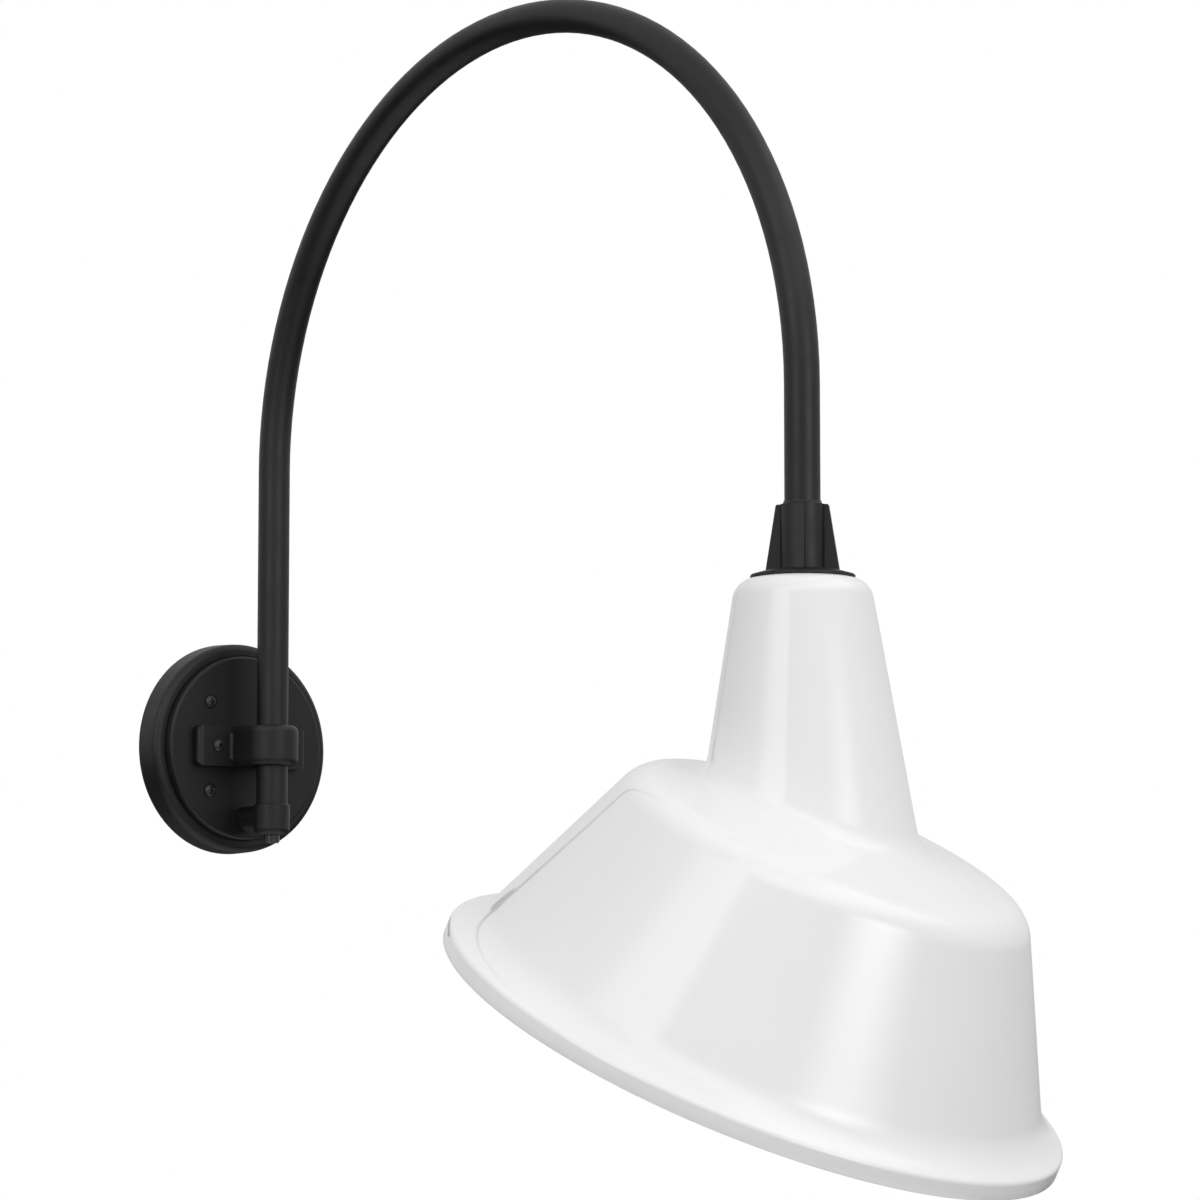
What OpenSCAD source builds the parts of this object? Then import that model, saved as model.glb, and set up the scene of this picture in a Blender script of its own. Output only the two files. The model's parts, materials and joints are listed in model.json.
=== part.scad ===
// Barn light: a round wall plate, a gooseneck arm held by a strap clamp and an elbow,
// and an angle shade that hangs from a ribbed hub.
// The wall is the plane Y = 0, the light stands out along -Y, and Z points up.
// The origin is the centre of the wall plate's back.

/* [Arm] */
// Outer diameter of the arm tube
tube_d = 22.2; // [20:0.1:25]
// Wall thickness of the arm tube
tube_wall = 1.65; // [1.2:0.05:2.2]
// Distance from the wall to the axis of the leg beside it
leg_gap = 56.6; // [50:0.1:66]
// Distance from the wall to the axis that the head turns on
reach = 607.9; // [500:0.1:700]
// Height at which both legs of the arm go over into the arch
leg_top = 195.4; // [150:0.1:300]

/* [Wall plate] */
// Diameter of the wall plate at the wall
plate_d = 150; // [146:0.5:170]
// Height of the plate's outer ring off the wall
ring_h = 20; // [18:0.1:22]
// Diameter of the raised disc in the middle
disc_d = 132; // [128:0.5:134]
// Height of the raised disc off the wall
disc_h = 25.5; // [24:0.1:30]
// Wall thickness of the cast plate
plate_wall = 2.8; // [2:0.1:3.5]
// Width of the rim that presses on the gasket
rim_land = 6; // [4:0.1:7]
// Rounding of the outer ring's front edge
ring_round = 5; // [2:0.1:6]
// How far the outer ring's side draws in over its height
ring_draft = 0.5; // [0:0.1:1.5]
// Rounding of the raised disc's front edge
disc_round = 1.8; // [0.6:0.1:3]
// How far the disc's side draws in over its height
disc_draft = 0.8; // [0:0.1:1.5]
// Width of the groove between ring and disc
groove_w = 0.8; // [0.4:0.1:1.6]
// Depth of the groove between ring and disc
groove_deep = 0.8; // [0.2:0.1:1.5]
// Thickness of the gasket on the wall
gasket_t = 1.5; // [1:0.1:2.5]

/* [Mounting plate] */
// Diameter of the plate that bolts to the electrical box
mount_d = 112; // [106:1:120]
// Thickness of that plate
mount_t = 2.5; // [2:0.1:3]
// Diameter of its wire hole
wire_hole_d = 24; // [16:1:30]
// Smallest spacing of box screws that its slots take
box_pitch_min = 69.85; // [66:0.05:74]
// Largest spacing of box screws that its slots take
box_pitch_max = 88.9; // [82:0.05:92]
// Width of the slots
slot_w = 4.5; // [4:0.1:5.5]
// Height of the ground screw above the plate's centre
ground_screw_up = 24; // [20:0.5:30]
// Shank diameter of the ground screw
ground_screw_d = 4.2; // [3:0.1:5]

/* [Plate screws] */
// Diameter of the circle that the four plate screws lie on
screw_circle_d = 88.9; // [84:0.1:92]
// Shank diameter of the plate screws
plate_screw_d = 4.2; // [3.5:0.1:5]
// Head diameter of the plate screws
plate_head_d = 8.8; // [7:0.1:9.2]
// Head height of the plate screws
plate_head_h = 2.8; // [2:0.1:3.5]
// Diameter of the sunk seats of these heads in the plate
screw_seat_d = 10.6; // [10:0.1:11]
// Depth of those seats
screw_seat_deep = 0.8; // [0.2:0.1:1.2]
// Diameter of the pillars inside the plate that take these screws
pillar_d = 11; // [9:0.1:13]
// How far the screws' ends stay off the wall
screw_end_gap = 0.6; // [0.2:0.1:1.5]

/* [Clamp] */
// Height of the strap clamp along the tube
clamp_h = 28.4; // [24:0.1:36]
// Thickness of the strap round the tube
clamp_wall = 7.2; // [5:0.1:8.5]
// Rounding of the strap's outer edges
clamp_round = 4.5; // [2:0.1:5]
// Distance from the middle to the end of a clamp flange
flange_reach = 46.5; // [41:0.1:50]
// Thickness of the clamp flanges
flange_t = 8; // [6:0.1:9]
// Radius of the fillet between strap and flanges
clamp_fillet = 2.4; // [1:0.1:3]
// Rounding of the flange corners
flange_round = 4.2; // [1:0.1:5]
// Distance between the two clamp screws
clamp_pitch = 60.4; // [58:0.1:66]
// Shank diameter of the clamp screws
clamp_screw_d = 6; // [5:0.1:6.5]
// Head diameter of the clamp screws
clamp_head_d = 8.6; // [8:0.1:10]
// Head height of the clamp screws
clamp_head_h = 3.2; // [2.5:0.1:4]
// Diameter of the bosses inside the plate that take the clamp screws
clamp_boss_d = 12; // [10:0.1:13]
// Length of those bosses behind the plate's front wall
clamp_boss_h = 8; // [5:0.1:10]
// Height of the block that the clamp pulls the tube on to
rest_h = 24; // [16:0.5:28]
// Depth of the tube's seat in that block
rest_seat = 5.5; // [3:0.1:8]

/* [Elbow] */
// Distance from the plate's centre down to the elbow's branch
elbow_drop = 50.8; // [50.4:0.1:53.5]
// Distance from the plate's centre down to the collar's top
collar_drop = 41.3; // [39:0.1:41.6]
// Height of the elbow's collar
collar_h = 21.8; // [20:0.1:26]
// Wall thickness of the collar round the tube
collar_wall = 1.6; // [1.2:0.1:2.5]
// Rounding of the collar's lower edge
collar_round = 4.5; // [2:0.1:5]
// Bevel of the collar's upper edge
collar_bevel = 0.6; // [0.2:0.1:1]
// Depth of the seat for the tube in the collar
collar_seat = 4.8; // [3.5:0.1:5]
// Thickness of the collar's floor
collar_floor = 4.2; // [3:0.1:5]
// Diameter of the branch that runs back to the plate
branch_d = 18; // [16:0.1:18.4]
// Diameter of the threaded spigot behind the branch
spigot_d = 13; // [12:0.1:14]
// Diameter of the wire way through branch and spigot
branch_bore_d = 9.2; // [8:0.1:9.5]
// Width across the flats of the spigot's locknut
elbow_nut_w = 16; // [15.4:0.1:17]
// Thickness of that locknut
elbow_nut_t = 4; // [3:0.1:5]
// How far the spigot comes through its locknut
spigot_past = 2; // [0.5:0.1:3]
// Diameter of the drain plug's head under the collar
plug_d = 11.2; // [9:0.1:13]
// Height of the drain plug's head
plug_h = 5.6; // [4:0.1:7]
// Thread diameter of the drain plug
plug_thread_d = 7; // [6:0.1:8]

/* [Hub] */
// Height of the hub
hub_h = 45.9; // [45:0.1:52]
// Diameter of the hub's core
core_d = 27.8; // [26:0.1:30]
// Diameter of the hub's lip round the tube
lip_d = 23.4; // [23:0.1:26]
// Diameter of the hub's foot under its ribs
foot_d = 45.2; // [40:0.1:50]
// Thickness of the hub's foot there
foot_t = 3.2; // [2:0.1:4]
// Diameter of the foot's thin outer edge
foot_edge_d = 63.4; // [54:0.1:66]
// Thickness of that edge
foot_edge_t = 0.6; // [0.4:0.1:1]
// Number of ribs on the hub
rib_count = 4; // [3:1:6]
// Thickness of a rib
rib_w = 5.7; // [5:0.1:7]
// Distance from the axis to the outer edge of a rib at its top
rib_top_r = 16.3; // [15.6:0.1:18]
// Height of the ribs
rib_h = 43.7; // [38:0.1:44.8]
// Bevel at the top of a rib's outer edge
rib_bevel = 0.7; // [0.2:0.1:1.2]
// Angle of the first rib from the shade's middle plane
rib_turn = 62; // [0:1:90]
// Depth of the hub's socket for the tube
socket_deep = 35; // [31:0.1:37]
// Diameter of the hub's set screw
set_screw_d = 4; // [3.4:0.1:4.6]
// Length of the hub's set screw
set_screw_l = 6; // [5:0.1:7]
// Height of the set screw above the hub's foot
set_screw_up = 25; // [20:0.1:30]
// Depth of the ring groove in the tube that the set screw holds on to
swivel_deep = 0.8; // [0.4:0.05:1]

/* [Neck fittings] */
// Diameter of the gasket between hub and shade
hub_gasket_d = 64.4; // [56:0.1:66]
// Thickness of that gasket
hub_gasket_t = 1.2; // [0.8:0.1:2]
// Outer diameter of the threaded nipple through the neck
nipple_d = 17; // [15:0.1:17.6]
// Wall thickness of the nipple
nipple_wall = 1.7; // [1.2:0.1:2.2]
// Distance from the nipple's upper end to the tube
nipple_gap = 1.3; // [0.5:0.1:4]
// How far the nipple's lower end reaches into the lampholder's chamber
nipple_past = 2; // [0.5:0.1:4]
// Diameter of the washer inside the neck
neck_washer_d = 44; // [36:0.5:50]
// Thickness of that washer
neck_washer_t = 1.6; // [1:0.1:2.5]
// Width across the flats of the locknut inside the neck
neck_nut_w = 25.4; // [23:0.1:30]
// Thickness of that locknut
neck_nut_t = 5; // [4:0.1:7]

/* [Shade] */
// Height of the shade's top above the plate's centre
neck_top = 76.2; // [60:0.1:80]
// Turn of the head about the tube, from straight out
head_turn = 13.5; // [-30:0.5:30]
// Diameter of the neck's top, measured at its sharp corner
neck_top_d = 82.2; // [80:0.1:90]
// Taper of the neck, from its axis to its wall
neck_taper = 9.5; // [7:0.1:11]
// Lean of the neck's axis away from the wall
neck_lean = 0.7; // [0:0.1:2]
// Rounding of the neck's top edge
neck_round = 15; // [7:0.1:16]
// Width of the fillet at the foot of the neck
neck_fillet = 12; // [8:0.5:16]
// Diameter of the rim
rim_d = 400; // [385:1:440]
// Tilt of the rim towards the wall
rim_tilt = 26; // [22:0.5:30]
// Distance from the shade's top down to the centre of the rim
rim_drop = 286.2; // [280:0.1:300]
// Distance of the rim's centre from the neck's top centre, towards the wall
rim_shift = 39.9; // [34:0.1:46]
// Height of the bell's shoulder over the rim, at its sharp corner
bell_h = 139.8; // [132:0.1:146]
// Diameter of the bell at its shoulder's sharp corner
bell_top_d = 253.4; // [250:0.1:268]
// Taper of the bell's side wall, from its axis
bell_taper = 25; // [22:0.1:26]
// Rounding of the bell's shoulder
bell_round = 26; // [20:0.5:36]
// Slope of the bell's top
bell_slope = 9.7; // [8:0.1:14]
// Height over the rim at which the side wall starts to flare
flare_h = 31; // [24:0.1:40]
// Slope of the flare where it meets the rim band
flare_slope = 20; // [8:0.5:22]
// Height of the straight band at the rim
band_h = 9; // [6:0.1:12]
// Rounding between band and flare
band_round = 3.5; // [2.5:0.1:5]
// Thickness of the shade's sheet
shade_t = 1.6; // [1.2:0.1:2]

/* [Lampholder] */
// Diameter of the lampholder
holder_d = 47; // [45:0.5:50]
// Height of the lampholder's cap
holder_cap_h = 24; // [22:0.5:28]
// Thickness of the cap's top
holder_cap_t = 7.4; // [6:0.1:9]
// Diameter of the wire chamber in the cap
chamber_d = 30; // [27:0.5:31]
// Height of the lampholder's body
holder_h = 36; // [34:0.5:40]
// Thickness of the deck between the wire chamber and the lamp's bore
deck_t = 8; // [6:0.1:9]
// Inner diameter of the screw shell
shell_d = 26.9; // [26.5:0.1:28]
// Sheet thickness of the screw shell
shell_t = 0.6; // [0.4:0.05:0.8]
// Length of the screw shell
shell_h = 24; // [20:0.5:26]
// Diameter of the hole in the shell's end round the centre contact
shell_hole_d = 15; // [12:0.5:20]
// Diameter of the centre contact
contact_d = 9; // [7:0.1:11]
// Thickness of the centre contact
contact_t = 1.2; // [0.8:0.1:2]
// Distance between the two terminal screws
terminal_pitch = 18; // [16:0.1:19]
// Shank diameter of a terminal screw
terminal_d = 3.2; // [2.5:0.1:4]
// Length of a terminal screw's shank in the deck
terminal_l = 5; // [3:0.1:5.5]
// Head diameter of a terminal screw
terminal_head_d = 6.4; // [5:0.1:7]
// Height of a terminal screw's head over the deck
terminal_head_h = 2.4; // [1.5:0.1:3]
// Distance between the two screws that join cap and body
joint_screw_pitch = 38.6; // [37.6:0.1:39]
// Shank diameter of those screws
joint_screw_d = 3.4; // [3:0.1:3.8]
// Depth of their holes in the cap
joint_screw_deep = 8; // [6:0.1:12]

/* [Lamp] */
// Diameter of the lamp's screw cap
lamp_cap_d = 26.2; // [26:0.1:26.4]
// Length of the lamp's threaded cap
lamp_cap_h = 20; // [18:0.5:22]
// Height of the glass ring over the cap
lamp_ring_h = 3; // [2:0.1:4]
// Diameter of the lamp's contact button
lamp_button_d = 8.4; // [7:0.1:10]
// Height of the lamp's contact button
lamp_button_h = 1.8; // [1:0.1:2.5]
// Height of the lamp's tapered housing
lamp_housing_h = 56; // [48:0.5:62]
// Diameter of the housing where it meets the globe
lamp_housing_d = 60; // [54:0.5:64]
// Diameter of the lamp's globe
lamp_globe_d = 67; // [66:0.5:72]
// Wall thickness of the lamp's globe
lamp_globe_t = 1.5; // [1:0.1:2]

/* [Leads] */
// Diameter of an insulated lead
lead_d = 2.4; // [1.8:0.1:2.6]
// Distance between the two leads in the tube
lead_pitch = 4; // [3.4:0.1:4.4]
// Distance above the tube's lower end in the hub at which the leads are joined on
lead_join = 4; // [2:0.5:20]
// Length of a wire connector
connector_h = 20; // [16:0.5:24]
// Diameter of a wire connector's mouth
connector_d = 11.5; // [9:0.1:12]
// Distance between neighbouring wire connectors
connector_pitch = 16; // [14:0.1:18]
// Distance from the wall to the connectors' axes
connector_out = 12; // [10:0.1:13]
// Distance from the plate's centre down to the mouths of the two outer connectors
connector_drop = 30; // [26:0.1:31]
// How much higher the connector in the middle hangs
connector_rise = 4; // [2:0.1:6]

/* [Clearances] */
// Radial clearance where the hub turns on the tube
run_gap = 0.05; // [0.02:0.01:0.08]
// Gap between faces that pass each other when the light moves
face_gap = 0.3; // [0.25:0.05:0.5]
// Radial clearance of fixed parts in each other
fit_gap = 0.1; // [0.05:0.01:0.2]
// Radial clearance of a screw in a plain hole
hole_gap = 0.25; // [0.15:0.01:0.3]

/* [Hidden] */
$fn = 96;

// Tiny overlap that makes a cut run past a face
eps = 0.01;
tube_r = tube_d / 2;
tube_in_r = tube_r - tube_wall;
arch_r = (reach - leg_gap) / 2;
plate_r = plate_d / 2;
disc_r = disc_d / 2;
cavity_r = plate_r - rim_land;
disc_cavity_r = disc_r - plate_wall;
ring_cavity_h = ring_h - groove_deep - plate_wall;
disc_cavity_h = disc_h - plate_wall;
screw_at = screw_circle_d / 2 / sqrt(2);
screw_seat = disc_h - screw_seat_deep;
box_pitch = (box_pitch_min + box_pitch_max) / 2;
slot_run = (box_pitch_max - box_pitch_min) / 2;
clamp_bore_r = tube_r + fit_gap;
clamp_r = clamp_bore_r + clamp_wall;
flange_face = disc_h + flange_t;
clamp_screw_end = disc_cavity_h - clamp_boss_h;
collar_r = tube_r + collar_wall;
collar_top = -collar_drop;
collar_bottom = collar_top - collar_h;
tube_bottom = collar_top - collar_seat;
elbow_nut_face = disc_cavity_h - elbow_nut_t;
spigot_end = elbow_nut_face - spigot_past;
hub_base = neck_top + hub_gasket_t;
tube_end = hub_base + hub_h - socket_deep;
set_screw_z = hub_base + set_screw_up;
nipple_r = nipple_d / 2;
nipple_top = tube_end - nipple_gap;
washer_z = neck_top - shade_t - neck_washer_t;
nut_z = washer_z - neck_nut_t;
deck_top = nut_z - holder_cap_h;
deck_z = deck_top - deck_t;
holder_bottom = deck_top - holder_h;
nipple_bottom = nut_z - holder_cap_t - nipple_past;
shell_r = shell_d / 2 + shell_t;
lamp_top = deck_z - contact_t - face_gap;
lamp_ring_top = lamp_top - lamp_button_h;
lamp_cap_top = lamp_ring_top - lamp_ring_h;
lamp_cap_bottom = lamp_cap_top - lamp_cap_h;
lamp_housing_bottom = lamp_cap_bottom - lamp_housing_h;
lamp_shoulder_r = lamp_cap_d / 2 - 3;
lead_r = lead_d / 2;
lead_x = lead_pitch / 2;
lead_split = tube_end + lead_join;
mid_connector_top = connector_h + connector_rise - connector_drop;

// Points of an arc about c from angle a0 to a1
function arc(c, r, a0, a1, n = 8) =
    [for (i = [0:n]) c + r * [cos(a0 + (a1 - a0) * i / n), sin(a0 + (a1 - a0) * i / n)]];

// Points of a quadratic curve from a to c that heads for b
function curve(a, b, c, n) =
    [for (i = [0:n]) let (t = i / n) (1 - t) * (1 - t) * a + 2 * t * (1 - t) * b + t * t * c];

function unit(v) = v / norm(v);

// Rectangle from low to high with rounded corners
function rounded_box(low, high, r) = concat(
    arc([high[0] - r, high[1] - r], r, 0, 90, 6), arc([low[0] + r, high[1] - r], r, 90, 180, 6),
    arc([low[0] + r, low[1] + r], r, 180, 270, 6), arc([high[0] - r, low[1] + r], r, 270, 360, 6));

// Stands its children on the wall: their X and Y become X and Z, their Z points out of the wall
module on_wall(out = 0) {
    translate([0, -out, 0]) rotate([90, 0, 0]) children();
}

// Turns its children with the head, about the axis of the arm's outer leg
module at_head(z = 0) {
    translate([0, -reach, z]) rotate([0, 0, head_turn]) children();
}

// Half a bolt head with a domed top, as a profile
function dome_profile(r, h, crown) = concat([[0, 0], [r, 0], [r, h - crown]],
    [for (i = [1:6]) let (a = 90 * i / 6) [r * cos(a), h - crown + crown * sin(a)]]);

// Cross-shaped drive recess, cut down from z = 0
module cross_recess(size, deep) {
    for (a = [0, 90]) rotate([0, 0, a])
        translate([-size / 2, -size / 10, -deep]) cube([size, size / 5, deep + 1]);
}

// Rings of points along a path, which swept_tube joins into a round bar with triangles
function tangent(p, i) = unit(p[min(i + 1, len(p) - 1)] - p[max(i - 1, 0)]);
function ring(p, i, r, sides, ref) =
    let (t = tangent(p, i), u = unit(ref - (ref * t) * t), v = cross(t, u))
    [for (j = [0:sides - 1]) p[i] + r * (cos(360 * j / sides) * u + sin(360 * j / sides) * v)];

module swept_tube(p, r, ref = [1, 0, 0], sides = 8) {
    n = len(p);
    points = [for (i = [0:n - 1]) each ring(p, i, r, sides, ref)];
    walls = [for (i = [0:n - 2]) for (j = [0:sides - 1])
        let (a = i * sides + j, b = i * sides + (j + 1) % sides)
        each [[a, a + sides, b], [b, a + sides, b + sides]]];
    start = [[for (j = [0:sides - 1]) j]];
    end = [[for (j = [0:sides - 1]) n * sides - 1 - j]];
    polyhedron(points, concat(walls, start, end));
}

// A path with each inner corner rounded by a curve that starts r before it
function round_corners(p, r, n = 5) = concat([p[0]],
    [for (i = [1:len(p) - 2]) each curve(p[i] + r * unit(p[i - 1] - p[i]), p[i],
        p[i] + r * unit(p[i + 1] - p[i]), n)], [p[len(p) - 1]]);

// Wall plate and what lies behind it

module wall_gasket() {
    color("#1c1c1c") on_wall() difference() {
        cylinder(r = plate_r - fit_gap, h = gasket_t);
        translate([0, 0, -eps]) cylinder(r = cavity_r, h = gasket_t + 2 * eps);
    }
}

module slot(x) {
    translate([x - slot_run / 2, 0, -1]) cylinder(d = slot_w, h = mount_t + 2);
    translate([x + slot_run / 2, 0, -1]) cylinder(d = slot_w, h = mount_t + 2);
    translate([x - slot_run / 2, -slot_w / 2, -1]) cube([slot_run, slot_w, mount_t + 2]);
}

module at_plate_screws() {
    for (x = [-1, 1]) for (z = [-1, 1]) translate([x * screw_at, z * screw_at, 0]) children();
}

module mounting_plate() {
    color("#b9bbbd") on_wall() difference() {
        cylinder(d = mount_d, h = mount_t);
        translate([0, 0, -1]) cylinder(d = wire_hole_d, h = mount_t + 2);
        slot(-box_pitch / 2);
        slot(box_pitch / 2);
        at_plate_screws() translate([0, 0, -1]) cylinder(r = plate_screw_d / 2 + fit_gap, h = mount_t + 2);
        translate([0, ground_screw_up, -1]) cylinder(r = ground_screw_d / 2 + fit_gap, h = mount_t + 2);
    }
}

// Outer and inner outline of the cast plate: distance from its axis, height off the wall
function plate_outline() = concat(
    [[plate_r, gasket_t]],
    arc([plate_r - ring_draft - ring_round, ring_h - ring_round], ring_round, 0, 90),
    [[disc_r + groove_w, ring_h], [disc_r + groove_w, ring_h - groove_deep],
        [disc_r, ring_h - groove_deep]],
    arc([disc_r - disc_draft - disc_round, disc_h - disc_round], disc_round, 0, 90),
    [[0, disc_h], [0, disc_cavity_h], [disc_cavity_r, disc_cavity_h],
        [disc_cavity_r, ring_cavity_h], [cavity_r, ring_cavity_h], [cavity_r, gasket_t]]);

module wall_plate() {
    color("#18191b") on_wall() difference() {
        union() {
            rotate_extrude() polygon(plate_outline());
            at_plate_screws() translate([0, 0, mount_t]) cylinder(d = pillar_d, h = disc_cavity_h - mount_t + 1);
            for (x = [-1, 1]) translate([x * clamp_pitch / 2, 0, clamp_screw_end])
                cylinder(d = clamp_boss_d, h = clamp_boss_h + 1);
        }
        at_plate_screws() cylinder(r = plate_screw_d / 2 + hole_gap, h = disc_h + 1);
        at_plate_screws() translate([0, 0, screw_seat]) cylinder(d = screw_seat_d, h = screw_seat_deep + 1);
        for (x = [-1, 1]) translate([x * clamp_pitch / 2, 0, 0])
            cylinder(r = clamp_screw_d / 2 + fit_gap, h = disc_h + 1);
        translate([0, -elbow_drop, 0]) cylinder(r = spigot_d / 2 + fit_gap, h = disc_h + 1);
    }
}

module plate_screw() {
    difference() {
        union() {
            rotate_extrude() polygon(dome_profile(plate_head_d / 2, plate_head_h, plate_head_h * 0.7));
            translate([0, 0, screw_end_gap - screw_seat])
                cylinder(d = plate_screw_d, h = screw_seat - screw_end_gap + eps);
        }
        translate([0, 0, plate_head_h]) cross_recess(plate_head_d * 0.55, plate_head_h * 0.6);
    }
}

module plate_screws() {
    color("#2a2b2d") on_wall(screw_seat) at_plate_screws() plate_screw();
}

module ground_screw() {
    head_h = 2.6;
    color("#2f8f3a") on_wall(mount_t) translate([0, ground_screw_up, 0]) difference() {
        union() {
            rotate_extrude() polygon(dome_profile(ground_screw_d, head_h, head_h * 0.5));
            translate([0, 0, screw_end_gap - mount_t]) cylinder(d = ground_screw_d, h = mount_t);
        }
        translate([0, 0, head_h]) cross_recess(ground_screw_d * 1.1, head_h * 0.5);
    }
}

// The bare end lies against the side of the ground screw's head
module ground_lead() {
    start = ground_screw_up - ground_screw_d;
    flat = -mount_t - lead_r - fit_gap;
    straight = 5;
    color("#2f8f3a") swept_tube(round_corners([[0, flat, start], [0, flat, start - straight],
        [0, -connector_out, mid_connector_top + straight], [0, -connector_out, mid_connector_top]],
        straight / 2), lead_r);
}

module wire_connector() {
    skirt = 3;
    crown_round = 2;
    rotate_extrude() polygon(concat([[0, 0], [connector_d / 2, 0], [connector_d / 2, skirt]],
        arc([connector_d / 2 - skirt, connector_h - crown_round], crown_round, 0, 90, 4), [[0, connector_h]]));
}

module wire_connectors() {
    color("#c9a63a") {
        for (x = [-1, 1]) translate([x * connector_pitch, -connector_out, -connector_drop]) wire_connector();
        translate([0, -connector_out, mid_connector_top]) rotate([180, 0, 0]) wire_connector();
    }
}

// Clamp and elbow that hold the arm

// Section of the strap: from the tube outwards, over its height
function strap_section() = concat([[clamp_bore_r, -clamp_h / 2]],
    arc([clamp_r - clamp_round, -clamp_h / 2 + clamp_round], clamp_round, -90, 0, 6),
    arc([clamp_r - clamp_round, clamp_h / 2 - clamp_round], clamp_round, 0, 90, 6),
    [[clamp_bore_r, clamp_h / 2]]);

module clamp_flange() {
    inside = clamp_r - clamp_wall / 2;
    intersection() {
        on_wall(disc_h) linear_extrude(flange_t)
            polygon(rounded_box([inside - flange_round, -clamp_h / 2], [flange_reach, clamp_h / 2], flange_round));
        translate([0, 0, -clamp_h / 2]) linear_extrude(clamp_h) polygon(concat(
            [[flange_reach, -disc_h], [inside, -disc_h], [inside, -flange_face]],
            arc([flange_reach - flange_round, -flange_face + flange_round], flange_round, 270, 360, 6)));
    }
}

// Fills the corner between the strap's side and the flange's face, short of the rounded ends
module strap_fillet() {
    run = clamp_h - 2 * clamp_round - 1;
    translate([clamp_r, -flange_face, -run / 2]) linear_extrude(run) difference() {
        translate([-1, -clamp_fillet]) square([clamp_fillet + 1, clamp_fillet + 1]);
        translate([clamp_fillet, -clamp_fillet]) circle(r = clamp_fillet + run_gap);
    }
}

module arm_clamp() {
    color("#18191b") difference() {
        union() {
            translate([0, -leg_gap, 0]) rotate([0, 0, 180]) rotate_extrude(angle = 180) polygon(strap_section());
            for (side = [0, 1]) mirror([side, 0, 0]) {
                on_wall(disc_h) linear_extrude(leg_gap - disc_h) polygon(strap_section());
                clamp_flange();
                strap_fillet();
            }
        }
        for (x = [-1, 1]) on_wall(disc_h - 1) translate([x * clamp_pitch / 2, 0, 0])
            cylinder(r = clamp_screw_d / 2 + hole_gap, h = flange_t + 2);
    }
}

module clamp_screws() {
    long = flange_face - clamp_screw_end;
    color("#2a2b2d") on_wall(flange_face) for (x = [-1, 1]) translate([x * clamp_pitch / 2, 0, 0]) difference() {
        union() {
            rotate_extrude() polygon(dome_profile(clamp_head_d / 2, clamp_head_h, clamp_head_h * 0.75));
            translate([0, 0, -long]) cylinder(d = clamp_screw_d, h = long + eps);
        }
        translate([0, 0, clamp_head_h * 0.35]) cylinder(d = clamp_screw_d * 0.6, h = clamp_head_h, $fn = 6);
    }
}

// Block behind the tube that the clamp pulls it on to
module tube_rest() {
    front = leg_gap - tube_r + rest_seat;
    color("#18191b") difference() {
        translate([-tube_r, -front, -rest_h / 2]) cube([tube_d, front - disc_h, rest_h]);
        translate([0, -leg_gap, -rest_h]) cylinder(r = tube_r + run_gap, h = 2 * rest_h);
    }
}

module elbow() {
    out = leg_gap - spigot_end;
    color("#18191b") difference() {
        union() {
            translate([0, -leg_gap, 0]) rotate_extrude() polygon(concat([[0, collar_bottom]],
                arc([collar_r - collar_round, collar_bottom + collar_round], collar_round, -90, 0),
                [[collar_r, collar_top - collar_bevel], [collar_r - collar_bevel, collar_top],
                    [0, collar_top]]));
            on_wall(disc_h) translate([0, -elbow_drop, 0]) cylinder(d = branch_d, h = leg_gap - disc_h);
            on_wall(spigot_end) translate([0, -elbow_drop, 0]) cylinder(d = spigot_d, h = out);
        }
        translate([0, -leg_gap, tube_bottom]) cylinder(r = tube_r + run_gap, h = collar_h);
        translate([0, -leg_gap, collar_bottom + collar_floor]) cylinder(r = tube_in_r, h = collar_h);
        translate([0, -leg_gap, collar_bottom - 1])
            cylinder(r = plug_thread_d / 2 + run_gap, h = collar_floor + 2);
        on_wall(spigot_end - 1) translate([0, -elbow_drop, 0]) cylinder(d = branch_bore_d, h = out + 1);
    }
}

module elbow_locknut() {
    color("#b9bbbd") on_wall(elbow_nut_face) translate([0, -elbow_drop, 0]) difference() {
        cylinder(d = elbow_nut_w / cos(30), h = elbow_nut_t, $fn = 6);
        translate([0, 0, -1]) cylinder(r = spigot_d / 2 + run_gap, h = elbow_nut_t + 2);
    }
}

module drain_plug() {
    bevel = 1;
    color("#202123") translate([0, -leg_gap, collar_bottom]) union() {
        translate([0, 0, -plug_h]) rotate_extrude() polygon([[0, 0], [plug_d / 2 - bevel, 0],
            [plug_d / 2, bevel], [plug_d / 2, plug_h], [0, plug_h]]);
        translate([0, 0, -eps]) cylinder(d = plug_thread_d, h = collar_floor);
    }
}

// Arm

// Both legs and the arch, as a rod of radius r
module gooseneck(r, low_in, low_out) {
    translate([0, -leg_gap, low_in]) cylinder(r = r, h = leg_top - low_in);
    translate([0, -reach, low_out]) cylinder(r = r, h = leg_top - low_out);
    translate([0, -leg_gap - arch_r, leg_top]) rotate([90, 0, 90])
        rotate_extrude(angle = 180) translate([arch_r, 0]) circle(r = r);
}

module arm_tube() {
    groove_h = set_screw_d + 2 * face_gap;
    color("#18191b") difference() {
        gooseneck(tube_r, tube_bottom, tube_end);
        gooseneck(tube_in_r, tube_bottom - 1, tube_end - 1);
        translate([0, -reach, set_screw_z - groove_h / 2]) rotate_extrude()
            translate([tube_r - swivel_deep, 0]) square([swivel_deep + 1, groove_h]);
    }
}

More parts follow.
